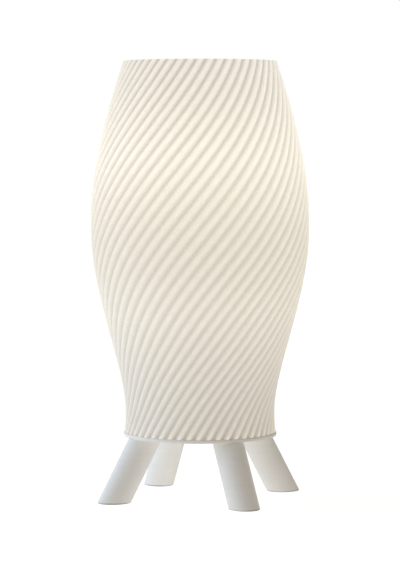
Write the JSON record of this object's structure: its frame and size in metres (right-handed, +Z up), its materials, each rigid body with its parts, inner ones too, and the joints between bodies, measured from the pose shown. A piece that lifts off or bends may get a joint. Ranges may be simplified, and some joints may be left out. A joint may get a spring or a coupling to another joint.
{
  "type": "table lamp",
  "caption": "Table lamp: a spiral-fluted translucent vase-shaped shade, open at the top, lifts off a round base plate on splayed round legs; a screw bulb in a holder stands inside.",
  "frame": {"origin": "on the floor plane, under the lamp's vertical axis", "axes": "+Z up along the lamp's axis, the front is -Y, +X to the right; the legs stand on the diagonals"},
  "size_m": [0.16, 0.16, 0.3202],
  "materials": {
    "printed_base": "printed in layers, ivory white",
    "printed_shade": "printed in one thin wall, ivory white, lets light through",
    "moulded_white": "moulded, satin",
    "ceramic": "fired, unglazed",
    "zinc_steel": "zinc plated",
    "brass": "bright",
    "nickel": "nickel plated",
    "black_insulator": "black",
    "aluminium": "bare, with white lacquer",
    "board_green": "circuit board",
    "opal_globe": "opal, lit"
  },
  "bodies": {
    "base": {"base_plate": "printed_base", "leg_front_left": "printed_base", "leg_front_right": "printed_base", "leg_back_right": "printed_base", "leg_back_left": "printed_base", "leg_insert_front_left": "brass", "leg_insert_front_right": "brass", "leg_insert_back_right": "brass", "leg_insert_back_left": "brass", "leg_screw_front_left": "zinc_steel", "leg_screw_front_right": "zinc_steel", "leg_screw_back_right": "zinc_steel", "leg_screw_back_left": "zinc_steel", "stem_tube": "zinc_steel", "stem_washer": "zinc_steel", "stem_upper_nut": "zinc_steel", "stem_lower_nut": "zinc_steel", "cord_bush": "moulded_white", "holder_lock_nut": "zinc_steel", "holder_cap": "moulded_white", "holder_block": "ceramic", "holder_terminal_left": "brass", "holder_terminal_right": "brass", "holder_sleeve": "brass", "holder_contact": "brass", "holder_shell": "moulded_white"},
    "shade": {"shade": "printed_shade"},
    "bulb": {"bulb_tip": "nickel", "bulb_insulator": "black_insulator", "bulb_cap": "nickel", "bulb_housing": "moulded_white", "bulb_led_board": "aluminium", "bulb_driver": "board_green", "bulb_globe": "opal_globe"}
  },
  "joints": [
    {"name": "shade_lift", "type": "slide", "parent": "base", "child": "shade", "axis": [0, 0, 1], "range_m": [0, 0.2]},
    {"name": "bulb_unscrew", "type": "hinge", "parent": "base", "child": "bulb", "pos_m": [0, 0, 0.1276], "axis": [0, 0, 1], "range_deg": [0, 1080]}
  ]
}
